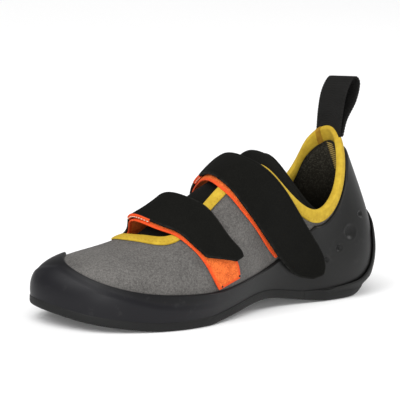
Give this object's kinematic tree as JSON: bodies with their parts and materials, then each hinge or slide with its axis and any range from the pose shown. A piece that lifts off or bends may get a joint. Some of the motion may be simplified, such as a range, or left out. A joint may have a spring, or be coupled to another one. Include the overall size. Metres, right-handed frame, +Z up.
{
  "type": "climbing shoe",
  "caption": "Low rock-climbing shoe with a suede upper on a rubber sole, toe rand and heel cup, closed by hook-and-loop straps, with a pull loop at the heel.",
  "frame": {"origin": "on the floor, under the middle of the shoe's length and width", "axes": "+X towards the toe, +Y towards the outer side of the foot, +Z up"},
  "size_m": [0.258, 0.0906, 0.1428],
  "materials": {
    "sole_rubber": "matte",
    "rand_rubber": "smooth, low sheen",
    "heel_rubber": "smooth, low sheen",
    "suede": "napped suede",
    "footbed_cloth": "matte cloth",
    "tongue_cloth": "matte cloth",
    "binding_tape": "woven tape",
    "strap_cover": "matte synthetic leather",
    "strap_lining": "looped cloth",
    "webbing": "ribbed webbing"
  },
  "bodies": {
    "root": {"outsole": "sole_rubber", "insole": "footbed_cloth", "upper": "suede", "toe_rand": "rand_rubber", "heel_cup": "heel_rubber", "heel_strip": "sole_rubber", "tongue": "tongue_cloth", "collar_binding": "binding_tape", "front_strap": "strap_cover", "front_under_strap": "strap_lining", "rear_strap": "strap_cover", "rear_under_strap": "strap_lining", "pull_loop": "webbing"}
  },
  "joints": []
}
